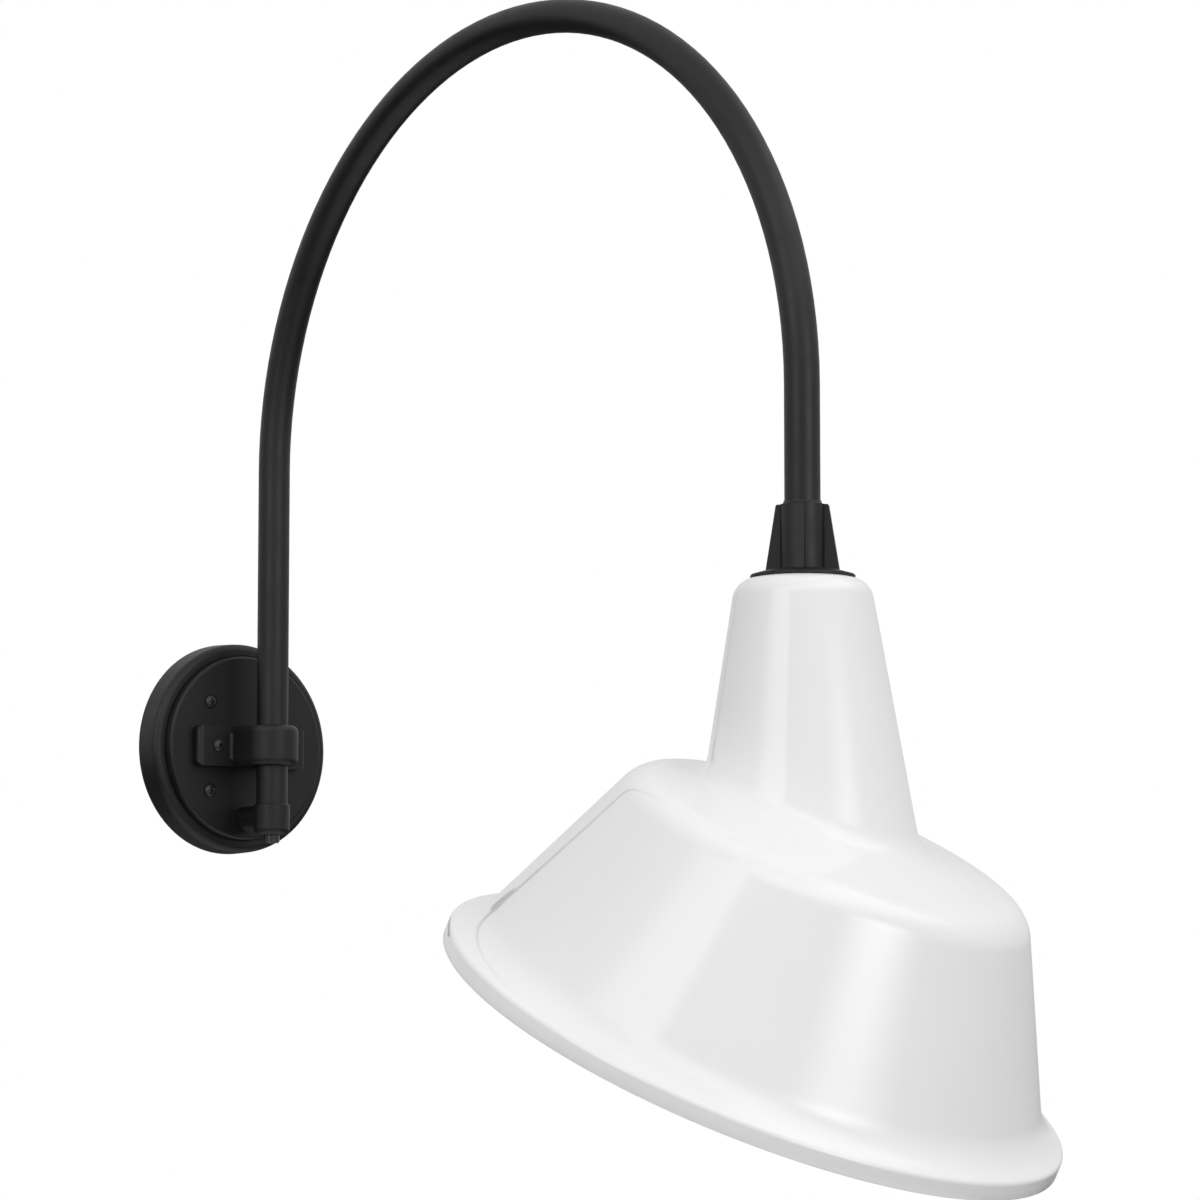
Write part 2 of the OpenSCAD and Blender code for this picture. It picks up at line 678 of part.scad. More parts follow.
// A lead from its wire connector through the elbow and up, over and down the arm
lead_bend = 6;
lead_start = 8;
function lead_path(side) = let (x = side * lead_x, far = side * connector_pitch)
    concat(
        round_corners([[far, -connector_out, -connector_drop],
            [far, -connector_out, -connector_drop - lead_start],
            [x, lead_r - connector_out, -elbow_drop], [x, -leg_gap, -elbow_drop],
            [x, -leg_gap, clamp_h]], lead_bend),
        [for (a = [0:7.5:180]) [x, -leg_gap - arch_r + arch_r * cos(a), leg_top + arch_r * sin(a)]],
        [[x, -reach, (leg_top + lead_split) / 2], [x, -reach, lead_split]]);

module live_lead() {
    color("#1f1f21") swept_tube(lead_path(-1), lead_r);
}

module neutral_lead() {
    color("#e8e8e6") swept_tube(lead_path(1), lead_r);
}

// Hub

module rib() {
    inside = (tube_r + core_d / 2) / 2;
    translate([0, rib_w / 2, 0]) rotate([90, 0, 0]) linear_extrude(rib_w)
        polygon([[inside, 0], [foot_d / 2, 0], [foot_d / 2, foot_t],
            [rib_top_r, rib_h - rib_bevel], [rib_top_r - rib_bevel, rib_h], [inside, rib_h]]);
}

module hub() {
    core_r = core_d / 2;
    lip_r = lip_d / 2;
    color("#18191b") at_head(hub_base) difference() {
        union() {
            rotate_extrude() polygon(concat([[0, 0], [foot_edge_d / 2, 0], [foot_edge_d / 2, foot_edge_t],
                [foot_d / 2, foot_t], [core_r, foot_t + 1]], curve([core_r, rib_h], [lip_r, rib_h], [lip_r, hub_h], 5),
                [[0, hub_h]]));
            for (i = [0:rib_count - 1]) rotate([0, 0, -90 - rib_turn + 360 * i / rib_count]) rib();
        }
        translate([0, 0, hub_h - socket_deep - face_gap]) cylinder(r = tube_r + run_gap, h = hub_h);
        translate([0, 0, -1]) cylinder(r = nipple_r + run_gap, h = hub_h);
        at_set_screw() cylinder(r = set_screw_d / 2 + run_gap, h = foot_d);
    }
}

// The set screw goes through the rib that faces the wall's side, its axis along local Z
module at_set_screw() {
    rotate([0, 0, 90 - rib_turn]) translate([0, 0, set_screw_up]) rotate([0, 90, 0])
        translate([0, 0, tube_r - swivel_deep + face_gap]) children();
}

module hub_set_screw() {
    recess = set_screw_l / 2;
    color("#2a2b2d") at_head(hub_base) at_set_screw() difference() {
        cylinder(d = set_screw_d, h = set_screw_l);
        translate([0, 0, recess]) cylinder(d = set_screw_d * 0.55, h = set_screw_l, $fn = 6);
    }
}

module hub_gasket() {
    color("#101011") at_head(neck_top) difference() {
        cylinder(d = hub_gasket_d, h = hub_gasket_t);
        translate([0, 0, -1]) cylinder(r = nipple_r + hole_gap, h = hub_gasket_t + 2);
    }
}

// Shade: one sheet, lofted from the tilted rim through the bell's wall, shoulder and top,
// round the fillet and up the neck to the hole under the hub

segments = 64;
bell_r = bell_top_d / 2;
rim_r = rim_d / 2;
rim_centre = [0, rim_shift, neck_top - rim_drop];
bell_axis = [0, -sin(rim_tilt), cos(rim_tilt)];
bell_side = [1, 0, 0];
bell_up = [0, cos(rim_tilt), sin(rim_tilt)];

// The bell's profile in pairs of radius and height over the rim
wall_in = [-sin(bell_taper), cos(bell_taper)];
top_in = [-cos(bell_slope), sin(bell_slope)];
corner = [bell_r, bell_h];
flare_end = corner - wall_in * (bell_h - flare_h) / cos(bell_taper);
band_top = [rim_r - band_round, band_h] + band_round * [sin(flare_slope), cos(flare_slope)];
flare_in = [-cos(flare_slope), sin(flare_slope)];

// Where the line through p along u meets the line through q along v
function meet(p, u, q, v) = p + u * ((q - p) * [v[1], -v[0]]) / (u * [v[1], -v[0]]);

flare_corner = meet(band_top, flare_in, flare_end, wall_in);
shoulder_turn = 90 - bell_taper - bell_slope;
shoulder_run = bell_round * tan(shoulder_turn / 2);
shoulder_centre = corner - wall_in * shoulder_run - bell_round * [cos(bell_taper), sin(bell_taper)];
shoulder_end = corner + top_in * shoulder_run;

bell_profile = concat([[rim_r, 0]],
    arc([rim_r - band_round, band_h], band_round, 0, 90 - flare_slope, 3),
    [for (p = [1:5]) curve(band_top, flare_corner, flare_end, 5)[p]],
    [(flare_end + corner - wall_in * shoulder_run) / 2],
    arc(shoulder_centre, bell_round, bell_taper, bell_taper + shoulder_turn, 7));

function bell_point(a, p) =
    rim_centre + p[1] * bell_axis + p[0] * (cos(a) * bell_side + sin(a) * bell_up);

// Height of the bell's sloping top over the rim, at radius r
function bell_top(r) = bell_h + tan(bell_slope) * (bell_r - r);

// A point of space as radius, height and angle about the bell's axis
function bell_radius(p) = let (d = p - rim_centre) norm([d * bell_side, d * bell_up]);
function bell_height(p) = (p - rim_centre) * bell_axis;
function bell_angle(p) = let (d = p - rim_centre) atan2(d * bell_up, d * bell_side);

// The neck's wall at depth d under its top
neck_wall_r = neck_top_d / 2;
function neck_point(a, d) = let (r = neck_wall_r + tan(neck_taper) * d)
    [r * cos(a), r * sin(a) - tan(neck_lean) * d, neck_top - d];

// Depth at which the neck's wall meets the bell's top, found by closing in on it
function foot_depth(a, d = 120, n = 14) = n == 0 ? d
    : let (p = neck_point(a, d))
        foot_depth(a, d + 0.9 * (bell_height(p) - bell_top(bell_radius(p))), n - 1);

// Where the fillet starts on the bell's top, as radius and angle about the bell's axis
function fillet_start(a) = let (p = neck_point(a, foot_depth(a)))
    [bell_radius(p) + neck_fillet, bell_angle(p)];

// Angle b moved by whole turns to lie within half a turn of a
function near_angle(a, b) = b + 360 * round((a - b) / 360);

// A point of the bell's top, the fraction t of the way from the shoulder to the fillet
function top_point(a, t) = let (f = fillet_start(a), r = shoulder_end[0] * (1 - t) + f[0] * t,
    b = a * (1 - t) + near_angle(a, f[1]) * t) bell_point(b, [r, bell_top(r)]);

function fillet_curve(a) = let (d = foot_depth(a))
    curve(top_point(a, 1), neck_point(a, d), neck_point(a, d - neck_fillet), 5);

// The neck's rounded top edge, as a profile of radius and depth
neck_turn = 90 - neck_taper;
neck_run = neck_round * tan(neck_turn / 2);
function edge_point(a, i) = let (b = neck_taper + neck_turn * i / 5,
    r = neck_wall_r - neck_run + neck_round * cos(b), d = neck_round * (1 - sin(b)))
    [r * cos(a), r * sin(a), neck_top - d];

hole_r = nipple_r + 2 * hole_gap;

function neck_column(a) = let (d = foot_depth(a) - neck_fillet)
    concat([for (t = [1 / 3, 2 / 3]) neck_point(a, d * (1 - t) + neck_run * t)],
        [for (i = [0:5]) edge_point(a, i)], [[hole_r * cos(a), hole_r * sin(a), neck_top]]);

// One line of points of the outer skin, from the rim to the hole in the neck's top
function outer_column(a) = concat([for (p = bell_profile) bell_point(a, p)],
    [top_point(a, 0.5)], fillet_curve(a), neck_column(a));

module shade() {
    skin = [for (j = [0:segments - 1]) outer_column(360 * j / segments)];
    rows = len(skin[0]);
    // The inner skin lies one sheet thickness behind the outer one
    inner = [for (j = [0:segments - 1]) [for (i = [0:rows - 1])
        let (up = skin[j][min(i + 1, rows - 1)] - skin[j][max(i - 1, 0)],
            along = skin[(j + 1) % segments][i] - skin[(j + segments - 1) % segments][i])
        skin[j][i] - shade_t * unit(cross(along, up))]];
    points = [for (j = [0:segments - 1]) each concat(skin[j], [for (i = [rows - 1:-1:0]) inner[j][i]])];
    loop = 2 * rows;
    faces = [for (j = [0:segments - 1]) for (i = [0:loop - 1])
        let (k = (j + 1) % segments, n = (i + 1) % loop)
        each [[j * loop + i, j * loop + n, k * loop + i], [k * loop + i, j * loop + n, k * loop + n]]];
    color("#f4f4f2") at_head() polyhedron(points, faces);
}

// Fittings inside the neck

module neck_washer() {
    color("#b9bbbd") at_head(washer_z) difference() {
        cylinder(d = neck_washer_d, h = neck_washer_t);
        translate([0, 0, -1]) cylinder(r = nipple_r + hole_gap, h = neck_washer_t + 2);
    }
}

module neck_locknut() {
    color("#b9bbbd") at_head(nut_z) difference() {
        cylinder(d = neck_nut_w / cos(30), h = neck_nut_t, $fn = 6);
        translate([0, 0, -1]) cylinder(r = nipple_r + run_gap, h = neck_nut_t + 2);
    }
}

module neck_nipple() {
    long = nipple_top - nipple_bottom;
    color("#b9bbbd") at_head(nipple_bottom) difference() {
        cylinder(d = nipple_d, h = long);
        translate([0, 0, -1]) cylinder(r = nipple_r - nipple_wall, h = long + 2);
    }
}

// Lampholder

module at_joint_screws() {
    for (y = [-1, 1]) translate([0, y * joint_screw_pitch / 2, 0]) children();
}

module at_terminals() {
    for (x = [-1, 1]) translate([x * terminal_pitch / 2, 0, 0]) children();
}

module holder_cap() {
    r = holder_d / 2;
    step_w = 5;
    step_drop = 5;
    edge = 3;
    top_edge = 2;
    color("#efece4") at_head(deck_top) difference() {
        rotate_extrude() polygon(concat([[0, 0], [r, 0]],
            arc([r - edge, holder_cap_h - step_drop - edge], edge, 0, 90, 5),
            arc([r - step_w - top_edge, holder_cap_h - top_edge], top_edge, 0, 90, 4),
            [[0, holder_cap_h]]));
        translate([0, 0, -1]) cylinder(d = chamber_d, h = holder_cap_h - holder_cap_t + 1);
        cylinder(r = nipple_r + run_gap, h = holder_cap_h + 1);
        at_joint_screws() translate([0, 0, -1])
            cylinder(r = joint_screw_d / 2 + run_gap, h = joint_screw_deep + 1);
    }
}

// The body narrows at its mouth and widens by a short cone to the width of the cap
module lampholder() {
    r = holder_d / 2;
    mouth_r = r - 1.5;
    edge = 2.5;
    cone_low = 8;
    cone_high = 10;
    color("#efece4") at_head(holder_bottom) difference() {
        rotate_extrude() polygon(concat([[0, 0]], arc([mouth_r - edge, edge], edge, -90, 0, 5),
            [[mouth_r, cone_low], [r, cone_high], [r, holder_h], [0, holder_h]]));
        translate([0, 0, -1]) cylinder(r = shell_r + fit_gap, h = holder_h - deck_t + 1);
        at_joint_screws() translate([0, 0, -1]) cylinder(r = joint_screw_d / 2 + fit_gap, h = holder_h + 2);
        at_terminals() translate([0, 0, holder_h - terminal_l]) cylinder(r = terminal_d / 2 + run_gap, h = deck_t);
    }
}

module holder_screws() {
    head_h = 1.8;
    color("#c8b06a") at_head(holder_bottom) at_joint_screws() union() {
        rotate([180, 0, 0]) rotate_extrude() polygon(dome_profile(joint_screw_d * 0.85, head_h, head_h * 0.7));
        cylinder(d = joint_screw_d, h = holder_h + joint_screw_deep - 1);
    }
}

module terminal_screws() {
    color("#c8b06a") at_head(deck_top) at_terminals() union() {
        rotate_extrude() polygon(dome_profile(terminal_head_d / 2, terminal_head_h, terminal_head_h / 3));
        translate([0, 0, -terminal_l]) cylinder(d = terminal_d, h = terminal_l + eps);
    }
}

module screw_shell() {
    color("#c8b06a") at_head(deck_z - shell_h) difference() {
        cylinder(r = shell_r, h = shell_h);
        translate([0, 0, -1]) cylinder(d = shell_d, h = shell_h - shell_t + 1);
        cylinder(d = shell_hole_d, h = shell_h + 1);
    }
}

module centre_contact() {
    color("#c8b06a") at_head(deck_z - contact_t) cylinder(d = contact_d, h = contact_t);
}

// A lead from the tube's end down the nipple to its terminal screw
function head_lead_path(side) = let (x = side * lead_x, far = side * terminal_pitch / 2,
    end = deck_top + terminal_head_h, straight = 5)
    round_corners([[x, 0, lead_split - face_gap], [x, 0, nipple_bottom - straight / 2],
        [far, 0, end + straight], [far, 0, end]], straight / 2);

module head_live_lead() {
    color("#1f1f21") at_head() swept_tube(head_lead_path(-1), lead_r, [0, 1, 0]);
}

module head_neutral_lead() {
    color("#e8e8e6") at_head() swept_tube(head_lead_path(1), lead_r, [0, 1, 0]);
}

// Lamp

module lamp_contact() {
    color("#c9ccce") at_head(lamp_ring_top) rotate_extrude()
        polygon(dome_profile(lamp_button_d / 2, lamp_button_h, lamp_button_h * 0.6));
}

module lamp_ring() {
    color("#242428") at_head(lamp_cap_top)
        cylinder(r1 = lamp_shoulder_r, r2 = lamp_button_d / 2 + 1, h = lamp_ring_h);
}

// Rolled threads, as rings of the cap's wall
module lamp_cap() {
    r = lamp_cap_d / 2;
    pitch = 3.6;
    low = 1.2;
    plain = 1;
    steps = 8 * floor((lamp_cap_h - 3 * plain) / pitch);
    color("#b7bbbf") at_head(lamp_cap_bottom) rotate_extrude() polygon(concat([[0, 0], [r - low, 0]],
        [for (i = [0:steps]) [r - low / 2 * (1 + cos(360 * i / 8)), plain + i * pitch / 8]],
        [[r - low, lamp_cap_h - plain], [lamp_shoulder_r, lamp_cap_h], [0, lamp_cap_h]]));
}

// The neck of the housing stays narrow until it is out of the lampholder
module lamp_housing() {
    r = lamp_cap_d / 2 - fit_gap;
    wide_r = lamp_housing_d / 2;
    straight = lamp_cap_bottom - holder_bottom + 3;
    hem = 2;
    swell = 5;
    color("#f2f2ef") at_head(lamp_housing_bottom) rotate_extrude() polygon(concat([[0, 0], [wide_r, 0]],
        curve([wide_r, hem], [wide_r - swell, (lamp_housing_h - straight) * 0.6],
            [r, lamp_housing_h - straight], 10), [[r, lamp_housing_h], [0, lamp_housing_h]]));
}

// The globe is a shell, open at its top, that bulges past the housing
module lamp_globe() {
    r = lamp_globe_d / 2;
    start = acos(lamp_housing_d / lamp_globe_d);
    color("#fbfbf6") at_head(lamp_housing_bottom - r * sin(start)) rotate_extrude() polygon(concat(
        arc([0, 0], r, start, -90, 20), arc([0, 0], r - lamp_globe_t, -90, start, 20)));
}

wall_gasket();
mounting_plate();
wall_plate();
plate_screws();
ground_screw();
ground_lead();
wire_connectors();
tube_rest();
arm_clamp();
clamp_screws();
elbow();
elbow_locknut();
drain_plug();
arm_tube();
live_lead();
neutral_lead();
hub();
hub_set_screw();
hub_gasket();
shade();
neck_washer();
neck_locknut();
neck_nipple();
holder_cap();
lampholder();
holder_screws();
terminal_screws();
screw_shell();
centre_contact();
head_live_lead();
head_neutral_lead();
lamp_cap();
lamp_ring();
lamp_contact();
lamp_housing();
lamp_globe();
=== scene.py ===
# Barn light: looks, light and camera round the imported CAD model
import json
import math

import bpy
import numpy as np
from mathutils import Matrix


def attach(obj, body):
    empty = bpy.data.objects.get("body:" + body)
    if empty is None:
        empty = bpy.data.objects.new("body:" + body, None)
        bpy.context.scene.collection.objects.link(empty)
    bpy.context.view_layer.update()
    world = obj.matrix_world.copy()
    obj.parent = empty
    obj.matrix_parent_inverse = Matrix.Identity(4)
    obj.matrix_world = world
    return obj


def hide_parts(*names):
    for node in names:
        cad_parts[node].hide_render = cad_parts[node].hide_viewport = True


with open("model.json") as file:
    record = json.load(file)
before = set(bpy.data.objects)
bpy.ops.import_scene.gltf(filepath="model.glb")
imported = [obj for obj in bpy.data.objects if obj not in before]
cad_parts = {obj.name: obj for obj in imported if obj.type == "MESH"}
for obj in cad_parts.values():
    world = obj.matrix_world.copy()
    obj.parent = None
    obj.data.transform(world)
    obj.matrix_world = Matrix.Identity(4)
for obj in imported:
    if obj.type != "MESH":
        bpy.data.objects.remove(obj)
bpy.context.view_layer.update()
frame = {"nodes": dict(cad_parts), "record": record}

# The shade is worked out in millimetres and degrees, and all else in metres and degrees
MM = 0.001

# Camera, at the photo's place and angle, with its lens and sensor in millimetres
CAMERA_AT = (-1.7765, -2.5207, -0.1912)
CAMERA_AZIMUTH = 40.164
CAMERA_ELEVATION = 5.558
CAMERA_LENS = 128.72
SENSOR = 36.0

# The head: how far it hangs from the wall, how it is turned and how high its neck ends
REACH = 607.9
HEAD_TURN = 13.5
NECK_TOP = 76.2

# The shade's neck, as the CAD model has it
NECK_TOP_R = 41.1
NECK_TAPER = 9.5
NECK_LEAN = 0.7
NECK_ROUND = 15.0
NECK_FILLET = 12.0
HOLE_R = 9.0
HOLE_RING_R = 20.0

# The shade's rim and bell, as the CAD model has them; the bell's heights count from the rim
RIM_R = 200.0
RIM_TILT = 26.0
RIM_DROP = 286.2
RIM_SHIFT = 39.9
BELL_H = 139.8
BELL_TOP_R = 126.7
BELL_TAPER = 25.0
BELL_ROUND = 26.0
BELL_SLOPE = 9.7
FLARE_H = 31.0
FLARE_SLOPE = 20.0
BAND_H = 9.0
BAND_ROUND = 3.5
SHEET = 1.6

# Columns of points round the shade, and steps along each stretch of a column
COLUMNS = 288
BAND_STEPS = 8
FLARE_STEPS = 14
WALL_STEPS = 6
SHOULDER_STEPS = 18
TOP_STEPS = 4
FILLET_STEPS = 16
NECK_STEPS = 8
EDGE_STEPS = 14
LIP_STEPS = 6

# The neck's foot is sought from a first guess, in rounds that each close a share of the gap
FOOT_GUESS = 120.0
FOOT_ROUNDS = 20
FOOT_SHARE = 0.9

# Stage
FLOOR_R = 1.6
FLOOR_SIDES = 128
FLOOR_AT = (0, -0.3, -1.4)
LIGHT_TARGET = np.array([0.0, -0.5, 0.0])

# The world's light grows from its lower to its upper strength between these heights of a direction
HORIZON = (-0.2, 0.1)

# Roughness of a clear coat, and the shader's radii for the light that spreads under a soft surface
COAT_ROUGHNESS = 0.05
SOFT_RADIUS = (0.004, 0.004, 0.003)


def sin(degrees):
    return math.sin(math.radians(degrees))


def cos(degrees):
    return math.cos(math.radians(degrees))


def tan(degrees):
    return math.tan(math.radians(degrees))


# Materials

def new_material(name):
    """An empty material, with its node tree, its shader and the object's own coordinates."""
    material = bpy.data.materials.new(name)
    material.use_nodes = True
    tree = material.node_tree
    tree.nodes.clear()
    shader = tree.nodes.new("ShaderNodeBsdfPrincipled")
    output = tree.nodes.new("ShaderNodeOutputMaterial")
    tree.links.new(shader.outputs["BSDF"], output.inputs["Surface"])
    place = tree.nodes.new("ShaderNodeTexCoord").outputs["Object"]
    return material, tree, shader, place


def noise(tree, place, scale, detail=3.0, roughness=0.5, stretch=None):
    """A noise pattern of about 1 / scale metres, as its output from 0 to 1."""
    node = tree.nodes.new("ShaderNodeTexNoise")
    node.inputs["Scale"].default_value = scale
    node.inputs["Detail"].default_value = detail
    node.inputs["Roughness"].default_value = roughness
    if stretch:
        mapping = tree.nodes.new("ShaderNodeMapping")
        mapping.inputs["Scale"].default_value = stretch
        tree.links.new(place, mapping.inputs["Vector"])
        place = mapping.outputs["Vector"]
    tree.links.new(place, node.inputs["Vector"])
    return node.outputs["Fac"]


def spread(tree, value, low=0.0, high=1.0, start=0.3, end=0.7):
    """Maps a value's range from start to end, a pattern's middle, to the numbers from low to high."""
    node = tree.nodes.new("ShaderNodeMapRange")
    node.inputs["From Min"].default_value = start
    node.inputs["From Max"].default_value = end
    node.inputs["To Min"].default_value = low
    node.inputs["To Max"].default_value = high
    tree.links.new(value, node.inputs["Value"])
    return node.outputs["Result"]


def between(tree, value, first, second):
    """Mixes two colours by a pattern."""
    node = tree.nodes.new("ShaderNodeMix")
    node.data_type = "RGBA"
    node.inputs["A"].default_value = (*first, 1.0)
    node.inputs["B"].default_value = (*second, 1.0)
    tree.links.new(value, node.inputs["Factor"])
    return node.outputs["Result"]


def bump(tree, shader, height, depth, under=None):
    """Bumps the surface by a pattern, depth metres high; bumps can be laid on each other."""
    node = tree.nodes.new("ShaderNodeBump")
    node.inputs["Strength"].default_value = 1.0
    node.inputs["Distance"].default_value = depth
    tree.links.new(height, node.inputs["Height"])
    if under:
        tree.links.new(under, node.inputs["Normal"])
    tree.links.new(node.outputs["Normal"], shader.inputs["Normal"])
    return node.outputs["Normal"]


def coated(name, light, dark, rough, peel, grain, specular=0.5, coat=0.0):
    """Paint or coating: a slow change of tone, orange peel and a fine grain."""
    material, tree, shader, place = new_material(name)
    tone = spread(tree, noise(tree, place, scale=14.0, detail=4.0))
    tree.links.new(between(tree, tone, dark, light), shader.inputs["Base Color"])
    patches = noise(tree, place, scale=60.0, detail=5.0)
    tree.links.new(spread(tree, patches, *rough), shader.inputs["Roughness"])
    shader.inputs["Specular IOR Level"].default_value = specular
    shader.inputs["Coat Weight"].default_value = coat
    shader.inputs["Coat Roughness"].default_value = COAT_ROUGHNESS
    waves = bump(tree, shader, noise(tree, place, scale=320.0, detail=2.0), peel)
    bump(tree, shader, noise(tree, place, scale=1800.0, roughness=0.6), grain, waves)
    return material


def brushed(name, light, dark, rough, stretch):
    """Metal with fine lines along one direction and a slight change of tone."""
    material, tree, shader, place = new_material(name)
    tone = noise(tree, place, scale=25.0, detail=4.0)
    lines = noise(tree, place, scale=900.0, roughness=0.6, stretch=stretch)
    tree.links.new(between(tree, spread(tree, tone), dark, light), shader.inputs["Base Color"])
    tree.links.new(spread(tree, lines, *rough), shader.inputs["Roughness"])
    shader.inputs["Metallic"].default_value = 1.0
    bump(tree, shader, lines, depth=0.00001)
    return material


def moulded(name, light, dark, rough, grain, soft=0.0):
    """Plastic, rubber or glaze: tone, roughness and a moulded grain."""
    material, tree, shader, place = new_material(name)
    tone = spread(tree, noise(tree, place, scale=40.0))
    tree.links.new(between(tree, tone, dark, light), shader.inputs["Base Color"])
    patches = noise(tree, place, scale=220.0, detail=4.0)
    tree.links.new(spread(tree, patches, *rough), shader.inputs["Roughness"])
    shader.inputs["Subsurface Weight"].default_value = soft
    shader.inputs["Subsurface Radius"].default_value = SOFT_RADIUS
    bump(tree, shader, noise(tree, place, scale=1500.0, detail=2.0), grain)
    return material


def insulation(name, light, dark):
    """A wire's plastic skin."""
    return moulded(name, light, dark, rough=(0.35, 0.5), grain=0.00001)


def make_materials():
    """One material for each of the record's slots."""
    return {
        "black_coat": coated(
            "black_coat", light=(0.005, 0.0053, 0.0058), dark=(0.0035, 0.0037, 0.0042),
            rough=(0.4, 0.5), peel=0.00004, grain=0.000008, specular=0.42),
        "white_coat": coated(
            "white_coat", light=(0.86, 0.86, 0.86), dark=(0.84, 0.84, 0.84),
            rough=(0.06, 0.1), peel=0.00001, grain=0.000001, coat=0.2),
        "black_fasteners": coated(
            "black_fasteners", light=(0.02, 0.02, 0.022), dark=(0.014, 0.014, 0.016),
            rough=(0.22, 0.36), peel=0.00002, grain=0.000006),
        "zinc_steel": brushed(
            "zinc_steel", light=(0.62, 0.63, 0.65), dark=(0.5, 0.51, 0.52),
            rough=(0.28, 0.42), stretch=(1.0, 1.0, 0.08)),
        "rubber": moulded(
            "rubber", light=(0.014, 0.014, 0.015), dark=(0.009, 0.009, 0.01),
            rough=(0.62, 0.8), grain=0.00003),
        "porcelain": moulded(
            "porcelain", light=(0.86, 0.84, 0.78), dark=(0.82, 0.79, 0.72),
            rough=(0.08, 0.16), grain=0.00001, soft=0.1),
        "brass": brushed(
            "brass", light=(0.82, 0.6, 0.27), dark=(0.68, 0.48, 0.2),
            rough=(0.2, 0.34), stretch=(1.0, 1.0, 0.1)),
        "green_screw": coated(
            "green_screw", light=(0.03, 0.22, 0.06), dark=(0.02, 0.17, 0.045),
            rough=(0.25, 0.4), peel=0.00002, grain=0.000006),
        "green_insulation": insulation(
            "green_insulation", light=(0.03, 0.24, 0.06), dark=(0.02, 0.2, 0.05)),
        "black_insulation": insulation(
            "black_insulation", light=(0.018, 0.018, 0.019), dark=(0.012, 0.012, 0.013)),
        "white_insulation": insulation(
            "white_insulation", light=(0.8, 0.8, 0.78), dark=(0.76, 0.76, 0.74)),
        "yellow_plastic": moulded(
            "yellow_plastic", light=(0.75, 0.48, 0.05), dark=(0.68, 0.42, 0.04),
            rough=(0.35, 0.5), grain=0.00003),
        "lamp_cap": brushed(
            "lamp_cap", light=(0.72, 0.73, 0.75), dark=(0.6, 0.61, 0.62),
            rough=(0.2, 0.35), stretch=(0.1, 0.1, 1.0)),
        "lamp_insulator": moulded(
            "lamp_insulator", light=(0.02, 0.02, 0.025), dark=(0.014, 0.014, 0.018),
            rough=(0.1, 0.2), grain=0.00001),
        "lamp_housing": moulded(
            "lamp_housing", light=(0.84, 0.84, 0.82), dark=(0.8, 0.8, 0.78),
            rough=(0.4, 0.52), grain=0.00002),
        "lamp_globe": moulded(
            "lamp_globe", light=(0.9, 0.9, 0.86), dark=(0.87, 0.87, 0.83),
            rough=(0.25, 0.35), grain=0.00001, soft=0.4),
    }


materials = make_materials()
slot_of = {row["node"]: row["material_slot"] for row in frame["record"]["subparts"]}
for node_name, node_object in frame["nodes"].items():
    node_object.data.materials.clear()
    node_object.data.materials.append(materials[slot_of[node_name]])


# Shade: the CAD model's form with a finer loft, in the head's own directions and millimetres

def arc(centre, radius, start, end, steps):
    """Points of an arc, as pairs."""
    angles = [start + (end - start) * i / steps for i in range(steps + 1)]
    return [np.array([centre[0] + radius * cos(a), centre[1] + radius * sin(a)]) for a in angles]


def curve(first, corner, last, steps):
    """Points of a quadratic curve from first to last that heads for corner."""
    ts = [i / steps for i in range(steps + 1)]
    return [(1 - t) ** 2 * first + 2 * t * (1 - t) * corner + t * t * last for t in ts]


def meet(p, u, q, v):
    """Where the line through p along u meets the line through q along v."""
    across = np.array([v[1], -v[0]])
    return p + u * ((q - p) @ across) / (u @ across)


RIM_CENTRE = np.array([0.0, RIM_SHIFT, NECK_TOP - RIM_DROP])
BELL_AXIS = np.array([0.0, -sin(RIM_TILT), cos(RIM_TILT)])
BELL_SIDE = np.array([1.0, 0.0, 0.0])
BELL_UP = np.array([0.0, cos(RIM_TILT), sin(RIM_TILT)])


def bell_profile():
    """Radius and height over the rim, from the rim's band to the shoulder's upper end."""
    wall_in = np.array([-sin(BELL_TAPER), cos(BELL_TAPER)])
    corner = np.array([BELL_TOP_R, BELL_H])
    flare_end = corner - wall_in * (BELL_H - FLARE_H) / cos(BELL_TAPER)
    flare_in = np.array([-cos(FLARE_SLOPE), sin(FLARE_SLOPE)])
    band_centre = np.array([RIM_R - BAND_ROUND, BAND_H])
    band_top = band_centre + BAND_ROUND * np.array([sin(FLARE_SLOPE), cos(FLARE_SLOPE)])
    turn = 90 - BELL_TAPER - BELL_SLOPE
    run = BELL_ROUND * tan(turn / 2)
    wall_top = corner - wall_in * run
    shoulder = wall_top - BELL_ROUND * np.array([cos(BELL_TAPER), sin(BELL_TAPER)])
    band = [np.array([RIM_R, height]) for height in (SHEET / 2, BAND_H / 2)]
    wall = [flare_end + (wall_top - flare_end) * i / WALL_STEPS for i in range(1, WALL_STEPS)]
    flare_corner = meet(band_top, flare_in, flare_end, wall_in)
    return (
        band
        + arc(band_centre, BAND_ROUND, 0, 90 - FLARE_SLOPE, BAND_STEPS)
        + curve(band_top, flare_corner, flare_end, FLARE_STEPS)[1:]
        + wall
        + arc(shoulder, BELL_ROUND, BELL_TAPER, BELL_TAPER + turn, SHOULDER_STEPS)
    )


PROFILE = bell_profile()
SHOULDER_END = PROFILE[-1]


def bell_point(angle, p):
    """The point at an angle round the bell's axis whose radius and height over the rim are p."""
    return RIM_CENTRE + p[1] * BELL_AXIS + p[0] * (cos(angle) * BELL_SIDE + sin(angle) * BELL_UP)


def bell_top(radius):
    """Height of the bell's sloping top over the rim."""
    return BELL_H + tan(BELL_SLOPE) * (BELL_TOP_R - radius)


